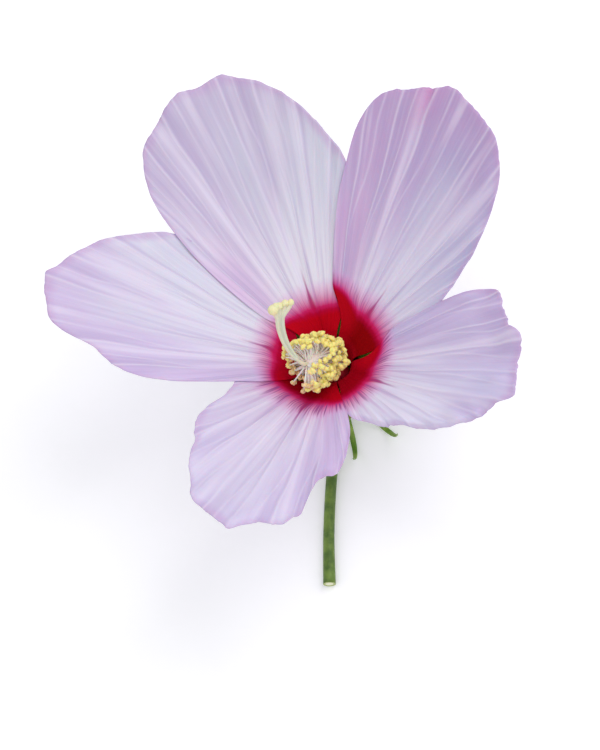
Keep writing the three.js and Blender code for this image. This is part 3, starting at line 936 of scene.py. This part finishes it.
def stalk_mesh():
    lie = PEDICEL_RADIUS + ABOVE_TABLE
    plan = [(PEDICEL_RUN, lie, 3), (PEDICEL_RUN * 0.75, lie, 1.5), (PEDICEL_RUN * 0.5, lie, 0),
            (PEDICEL_RUN * 0.3, lie, -1), (10.5, lie, 0), (5.6, lie + 0.3, 0), (1.9, 3.6, 0), (0.15, 6.2, 0),
            (0, 7.6, 0), (0, CALYX_BASE_Z - 0.3, 0)]
    route = smooth_route([polar(run, PEDICEL_AZIMUTH + veer, z) for run, z, veer in plan], 8)
    runs = distances(route)
    full = runs[-1]
    swelling = [(0, 0.1), (full * 0.25, -0.1), (full - 24, -0.1), (full - 15.5, 0), (full - 13.5, 0.15),
                (full - 11.5, -0.05), (full - 6.4, 0), (full - 4.4, 0.1), (full - 3, 0.45), (full - 1.7, 1.2),
                (full, 1.45)]
    radii = [PEDICEL_RADIUS + through(swelling, run) for run in runs]
    bm = bmesh.new()
    sweep(bm, route, radii, STALK_SIDES)
    bmesh.ops.recalc_face_normals(bm, faces=bm.faces)
    ends = (face for face in bm.faces if len(face.verts) == STALK_SIDES)
    cut = min(ends, key=lambda face: face.calc_center_median().z)
    cut.material_index = 1
    for width in (SKIN, WOOD):
        bmesh.ops.inset_individual(bm, faces=[cut], thickness=width * MM, depth=-0.03 * MM)
    cut.material_index = 2
    return bm


# %% Stalk finishes
stalk_green = green_material("stalk_green", srgb(74, 106, 28), srgb(114, 142, 54), srgb(50, 76, 16), 0.12, 0)
wood = mottled("cut_wood", 0.6, 2500, srgb(150, 168, 92), srgb(196, 202, 140))
pith = mottled("cut_pith", 0.7, 3000, srgb(226, 226, 190), srgb(240, 240, 216))
show(stalk_mesh(), "stalk", [stalk_green, wood.material, pith.material], ["pedicel"])

# %% [markdown]
# ## Column
# The filaments of a hibiscus are joined in a tube round the style, the column. It leans over to one side,
# and the style carries on from its tip and curves up. Both follow one route, so the style can't miss the
# column's mouth. The column is crimson in the throat, as the petals are, and turns nearly white above it.

# %% The style's route
STYLE_POINTS = [(0, 0, 10.5), (0, 0, 19), (-0.2, -0.2, 28), (-2.6, -1.3, 34.9), (-6.9, -3.5, 39.7),
                (-9, 0, 45), (-8.8, 3.9, 51), (-6.8, 7.5, 56.5)]
style_route = smooth_route([AXIS + Vector(p) * MM for p in STYLE_POINTS], 10)
style_turns = facing(style_route)
style_run = distances(style_route)
STYLE_LENGTH = style_run[-1]
print("the style is", round(STYLE_LENGTH, 1), "mm long")


def on_style(run):
    """The place and turn at a distance along the style, in millimetres."""
    k = min(range(len(style_run)), key=lambda i: abs(style_run[i] - run))
    return style_route[k], style_turns[k]


def sweep_style(bm, end, radii, sides):
    """Sweeps along the style from its foot to a distance along it. radii are a few [distance, radius]."""
    places = [k for k, run in enumerate(style_run) if run <= end]
    sweep(bm, [style_route[k] for k in places], [through(radii, style_run[k]) for k in places], sides)


# %% Column
COLUMN_LENGTH = 31
COLUMN_RADII = [(0, 4.5), (3, 4.5), (5.5, 4.2), (8, 3.3), (11, 2.5), (16, 2.2), (22, 2.1), (27, 1.95),
                (30, 1.6), (COLUMN_LENGTH, 0.9)]
CRIMSON_END_Z, WHITE_START_Z = 23, 30

bm = bmesh.new()
sweep_style(bm, COLUMN_LENGTH, COLUMN_RADII, 32)

flesh = Nodes("column_flesh", 0.45, Subsurface_Weight=0.25, Subsurface_Scale=0.001)
here = flesh.here()
height = flesh.split(here)[2]
streak = flesh.noise(flesh.stretch(here, (900, 900, 160)), 1.0, 3)
pinkish = flesh.blend(streak, srgb(240, 222, 222), srgb(248, 238, 230))
up = flesh.ramp_up(height, CRIMSON_END_Z * MM, WHITE_START_Z * MM)
flesh.colour(flesh.blend(up, srgb(220, 50, 80), pinkish))
flesh.relief(streak, 0.15 * MM, 0.5)
show(bm, "column", [flesh.material], ["staminal_column"])

# %% [markdown]
# ## Anthers and pollen
# The upper part of the column carries hundreds of free stamens, each a thin filament with one anther. The
# anthers are copies of one small kidney shape, which is a sphere bent round its filament's end, and each is
# dusted with pollen grains, which are big and round in this family. Each shape has only a few dozen faces,
# because it is repeated so often. A copy also keeps how ripe it is, for its colour.

# %% Shapes to copy
ANTHER_SIZE, GRAIN_RADIUS, GRAINS = 1.08, 0.14, 14


def kidney():
    """One anther at the origin, its filament arriving from below."""
    bm = bmesh.new()
    bmesh.ops.create_uvsphere(bm, u_segments=10, v_segments=6, radius=1)
    for v in bm.verts:
        x, y, z = v.co
        v.co = Vector((x, y * 0.62, z * 0.55 - 0.42 * x * x + 0.22))
        v.co *= 1 + 0.06 * noise.noise(v.co * 4)
    bmesh.ops.scale(bm, vec=Vector((1, 1, 1)) * ANTHER_SIZE * MM, verts=bm.verts)
    return bm


def as_shape(bm, name):
    """A mesh to make copies of, with a value called ripe on its vertices."""
    data = bpy.data.meshes.new(name)
    bm.to_mesh(data)
    bm.free()
    data.attributes.new("ripe", "FLOAT", "POINT")
    print(name, "has", len(data.polygons), "faces")
    return data


def place_copy(bm, shape, matrix, ripe=0.0):
    """Adds a copy of a shape, moved by the matrix, that is as ripe as told."""
    for item in shape.attributes["ripe"].data:
        item.value = ripe
    shape.transform(matrix)
    bm.from_mesh(shape)
    shape.transform(matrix.inverted())


anther_shape = as_shape(kidney(), "anther_shape")
grain = bmesh.new()
bmesh.ops.create_icosphere(grain, subdivisions=1, radius=GRAIN_RADIUS * MM)
grain_shape = as_shape(grain, "grain_shape")

# %% [markdown]
# ## Stamens
# The filaments are swept like the rest, each a little curved. They stand out all round the column, closest
# together on its upper right side, and leave the middle of the tuft open, where the white filaments show.
# Turning on by the golden angle from one to the next spreads them evenly without rows. A few small groups
# lean their own way, as the stamens of a real flower do once insects have pushed through them.

# %% Filament routes
STAMENS, FIRST_STAMEN, LAST_STAMEN = 350, 16.5, 30.6
OPEN_MIDDLE, OPEN_WIDTH, OPEN_HEIGHT = (-3.2, 1.4), 3.6, 2.3
GOLDEN_ANGLE, CROWDED_SIDE = 137.5, 50
UNEVEN_TURN, UNEVEN_GROUP, UNEVEN_POINTING, UNEVEN_BEND = 14, 25, 0.15, 0.22
LEANS, ANTHER_SIZES = (-0.7, 0.1), (0.85, 1.12)
# Small groups: [every how many stamens, side in degrees, lean to the front, how far it points forward]
GROUPS = [(23, -60, 3.6, 0.9), (11, 190, 0, 0.1), (17, -40, 0.3, 0.3), (9, -122, 1.0, 0.7)]
POINTS_FORWARD = 0.6
FREE_LENGTH, CROWDED_LENGTH = 8.2, 7.7
FILAMENT_ROOT, FILAMENT_TIP = 0.32, 0.18
tuft_centre = polar(0, 0, THROAT_LEVEL)


def in_open_middle(place):
    """Whether an anther here would hide the open middle of the tuft."""
    right = (place - tuft_centre).dot(camera_right) / MM - OPEN_MIDDLE[0]
    up = (place - tuft_centre).dot(camera_up) / MM - OPEN_MIDDLE[1]
    return (right / OPEN_WIDTH) ** 2 + (up / OPEN_HEIGHT) ** 2 < 1


def filament_way(k, along):
    """Which way one filament leaves the column, how crowded that side is, and how far it points forward."""
    off_crowd = math.radians(k * GOLDEN_ANGLE + rng.uniform(-UNEVEN_TURN, UNEVEN_TURN))
    off_crowd -= 0.5 * math.sin(off_crowd)
    lean, forward = rng.uniform(*LEANS), 0.1
    for every, side, group_lean, group_forward in GROUPS:
        if k % every == 3:
            off_crowd = math.radians(side - CROWDED_SIDE + rng.uniform(-UNEVEN_GROUP, UNEVEN_GROUP))
            lean, forward = group_lean, group_forward
    outward = seen_towards(math.degrees(off_crowd) + CROWDED_SIDE) + lean * to_camera
    outward = (outward - outward.dot(along) * along).normalized()
    start = (outward + along * (forward + rng.uniform(-UNEVEN_POINTING, UNEVEN_POINTING))).normalized()
    return start, (1 + math.cos(off_crowd)) / 2, forward


def filament_route(root, along, start, crowded, share):
    """A gently bent route out from the column. share runs from 0 at the lowest stamen to 1 at the highest."""
    bend = Vector([rng.uniform(-UNEVEN_BEND, UNEVEN_BEND) for _ in range(3)])
    bend += along * mix(-0.1, 0.5, crowded)
    finish_way = (start + bend).normalized()
    shortest = mix(0.8, mix(0.55, 0.95, share), crowded)
    length = mix(FREE_LENGTH, CROWDED_LENGTH, crowded) * mix(0.85, 1.0, share)
    length *= rng.uniform(shortest, 1.06) * MM
    end = root + (start + finish_way) * length * 0.5
    return smooth_route([root + start * 1.1 * MM, root + start * length * 0.55, end], 4)


# %% Stamens
def add_anther(route, crowded):
    """An anther on the end of its filament, with its pollen, riper where the stamens stand further apart."""
    ahead = (route[-1] - route[-2]).normalized()
    spin = Matrix.Rotation(rng.uniform(0, math.pi), 4, "Z")
    size = Matrix.Scale(rng.uniform(*ANTHER_SIZES), 4)
    turn = ahead.to_track_quat("Z", "Y").to_matrix().to_4x4()
    at = Matrix.Translation(route[-1] + ahead * 0.15 * MM) @ turn @ spin @ size
    ripe = smoothstep(crowded + rng.uniform(-0.12, 0.12), 0.4, 0.05)
    place_copy(anthers, anther_shape, at, ripe)
    for _ in range(GRAINS):
        spot = at @ rng.choice(anther_shape.vertices).co
        place_copy(pollen, grain_shape, Matrix.Translation(spot), ripe)


filaments, anthers, pollen = bmesh.new(), bmesh.new(), bmesh.new()
grown = 0
for k in range(STAMENS):
    share = k / (STAMENS - 1)
    root, turn = on_style(mix(FIRST_STAMEN, LAST_STAMEN, share))
    along = turn @ Vector((0, 0, 1))
    start, crowded, forward = filament_way(k, along)
    route = filament_route(root, along, start, crowded, share)
    if in_open_middle(route[-1]) and forward < POINTS_FORWARD:
        continue
    sweep(filaments, route, taper(route, FILAMENT_ROOT, FILAMENT_TIP), 7)
    add_anther(route, crowded)
    grown += 1
print(grown, "stamens")

# %% [markdown]
# The filaments are nearly white. The anthers at the upper right are fresh and yellow, and those at the lower
# left are apricot, which the ripe value decides. Pollen is powdery, so its surface is rough and grainy.

# %% Stamen finishes
white = mottled("filament_white", 0.4, 500, srgb(248, 234, 230), srgb(252, 246, 236),
                Subsurface_Weight=0.3, Subsurface_Scale=0.0006)


def pollen_material(name, lemon, apricot, scale):
    n = Nodes(name, 0.75, Subsurface_Weight=0.3, Subsurface_Scale=0.0006)
    grainy = n.noise(n.here(), scale, 2)
    base = n.blend(n.kept("ripe"), lemon, apricot)
    n.colour(n.blend(n.ramp_up(grainy, 0.45, 0.7) * 0.2, base, srgb(246, 200, 104)))
    n.relief(grainy, 0.12 * MM, 0.7)
    return n.material


show(filaments, "filaments", [white.material], ["staminal_column"])
anther_skin = pollen_material("anther_skin", srgb(255, 238, 138), srgb(255, 220, 162), 2600.0)
show(anthers, "anthers", [anther_skin], ["staminal_column"])
grain_skin = pollen_material("pollen_grain", srgb(255, 246, 176), srgb(255, 232, 190), 4000.0)
show(pollen, "pollen", [grain_skin], ["staminal_column"])

# %% [markdown]
# ## Pistil
# The ovary sits in the foot of the calyx, and its style runs up through the column. Past the column's tip
# it parts into five branches that stay side by side and thicken, and each ends in a round, downy stigma.

# %% Ovary and style
BRANCH_START, BRANCH_OVERLAP = 34, 2
STYLE_RADII = [(0, 1.6), (1, 2.7), (2.6, 3.0), (4.2, 2.8), (6, 1.7), (7.6, 0.8), (9.5, 0.55),
               (BRANCH_START, 0.6), (BRANCH_START + BRANCH_OVERLAP, 0.5)]
pistil = bmesh.new()
sweep_style(pistil, BRANCH_START + BRANCH_OVERLAP, STYLE_RADII, 20)
print("ovary and style", len(pistil.faces), "faces")

# %% Branches and stigmas
# Each branch: [side it stands on in degrees, how far out it ends and its stigma's radius in millimetres]
BRANCHES = [(188, 1.7, 1.6), (140, 1.2, 1.1), (95, 0.9, 1.1), (48, 2.3, 1.05), (32, 3.7, 0.95)]
BRANCH_ROOT, BRANCH_TIP = 0.42, 0.72


def branch_route(side, out):
    """Beside the style's route, parting slowly and then, at the very tip, as far out as told."""
    beside = seen_towards(side)
    route = []
    for place, run in zip(style_route, style_run):
        if run >= BRANCH_START:
            share = (run - BRANCH_START) / (STYLE_LENGTH - BRANCH_START)
            away = 0.36 + 0.5 * share + max(0.0, out - 0.86) * smoothstep(share, 0.84, 1.0)
            route.append(place + beside * away * MM)
    return route


def add_stigma(bm, radius, place):
    """A bumpy, slightly flattened ball."""
    ball = bmesh.ops.create_icosphere(bm, subdivisions=4, radius=radius * MM)["verts"]
    for v in ball:
        v.co *= 1 + noise.noise(v.co / MM * 5.5) * 0.14 + noise.noise(v.co / MM * 1.6) * 0.1
        v.co.z *= 0.8
    bmesh.ops.translate(bm, vec=place, verts=ball)


stigmas = bmesh.new()
for side, out, stigma_radius in BRANCHES:
    route = branch_route(side, out)
    sweep(pistil, route, taper(route, BRANCH_ROOT, BRANCH_TIP), 14)
    add_stigma(stigmas, stigma_radius, route[-1] + (route[-1] - route[-2]).normalized() * 0.4 * MM)
print(len(BRANCHES), "stigmas", len(stigmas.faces), "faces")

# %% Pistil finishes
cream = mottled("style_cream", 0.4, 420, srgb(232, 222, 190), srgb(240, 234, 206),
                Subsurface_Weight=0.25, Subsurface_Scale=0.001)
downy = mottled("stigma_down", 0.65, 3200, srgb(238, 230, 160), srgb(250, 244, 206), 2,
                Subsurface_Weight=0.2, Subsurface_Scale=0.0008)
downy.relief(downy.pattern, 0.15 * MM, 0.8)
show(pistil, "style_branches", [cream.material], ["pistil"])
show(stigmas, "stigmas", [downy.material], ["pistil"])
